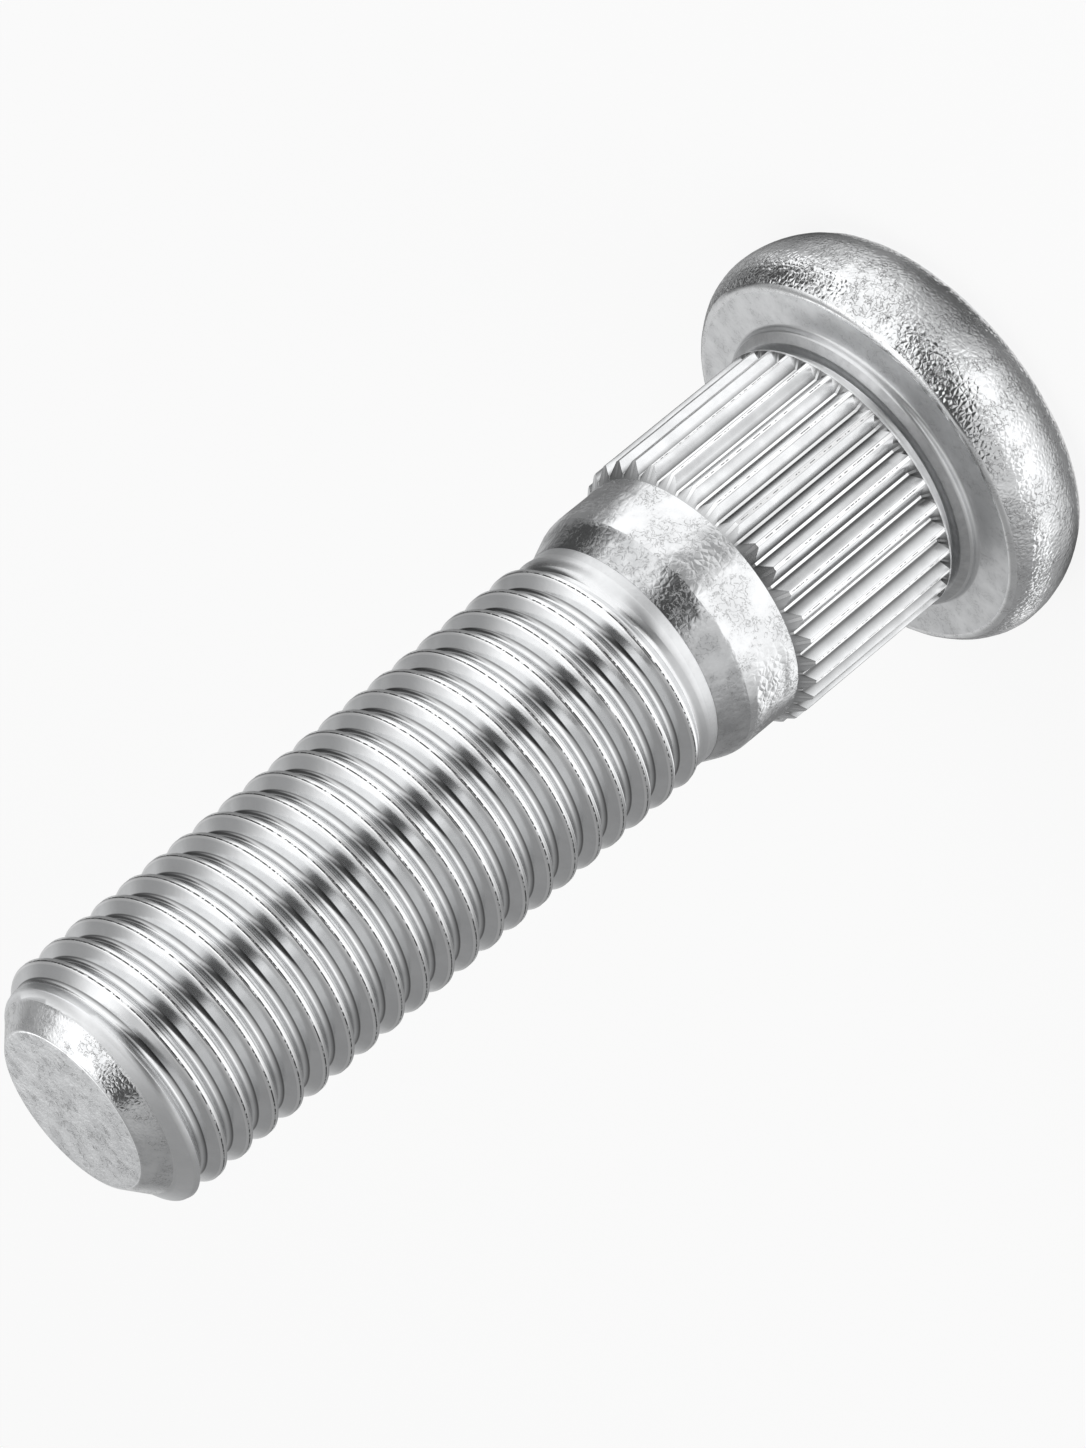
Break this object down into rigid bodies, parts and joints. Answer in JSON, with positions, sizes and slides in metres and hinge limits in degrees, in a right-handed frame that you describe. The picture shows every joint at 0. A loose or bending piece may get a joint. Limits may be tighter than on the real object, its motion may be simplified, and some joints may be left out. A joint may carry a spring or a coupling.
{
  "type": "wheel stud",
  "caption": "Press-in wheel stud with a round head, a flat seat, a straight serrated press length, a smooth shoulder and a fine metric thread with a coned tip.",
  "frame": {"origin": "centre of the head's bearing seat, on the stud's axis", "axes": "+Z along the stud from the seat to the tip, with the head below the seat; X and Y are free"},
  "size_m": [0.0204, 0.0204, 0.0527],
  "materials": {
    "zinc_plated_steel": "bright zinc plate, mottled on the rim and the shoulder, satin on the seat and the tip face"
  },
  "bodies": {
    "root": {"wheel_stud": "zinc_plated_steel"}
  },
  "joints": []
}
